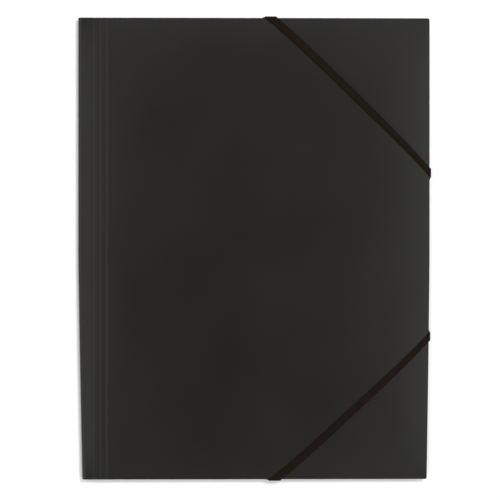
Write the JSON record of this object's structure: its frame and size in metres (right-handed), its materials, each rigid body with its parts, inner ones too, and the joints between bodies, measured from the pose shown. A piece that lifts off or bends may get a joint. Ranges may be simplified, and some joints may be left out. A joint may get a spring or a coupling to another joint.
{
  "type": "elastic folder",
  "caption": "Slim A4 document folder of black plastic sheet: hinged front cover, soft bent spine, back with folded inner flaps, woven elastic bands across the corners.",
  "frame": {"origin": "under the middle of the closed folder's outline, on the surface that it lies on", "axes": "+Y up along the spine towards the head edge, +X from the spine to the fore edge, +Z out of the front cover"},
  "size_m": [0.2452, 0.3222, 0.0075],
  "materials": {
    "cover_plastic": "satin, finely frosted",
    "woven_elastic": "woven, ribbed lengthwise",
    "bar_steel": "satin"
  },
  "bodies": {
    "back": {"back_cover": "cover_plastic", "upper_band": "woven_elastic", "lower_band": "woven_elastic", "upper_band_head_bar": "bar_steel", "upper_band_fore_bar": "bar_steel", "lower_band_foot_bar": "bar_steel", "lower_band_fore_bar": "bar_steel"},
    "spine": {"spine": "cover_plastic"},
    "front": {"front_cover": "cover_plastic"}
  },
  "joints": [
    {"name": "spine_hinge", "type": "hinge", "parent": "back", "child": "spine", "pos_m": [-0.12186, 0, 0.00179], "axis": [0, -1, 0], "range_deg": [0, 90]},
    {"name": "cover_hinge", "type": "hinge", "parent": "spine", "child": "front", "pos_m": [-0.12186, 0, 0.00521], "axis": [0, -1, 0], "range_deg": [0, 90]}
  ]
}
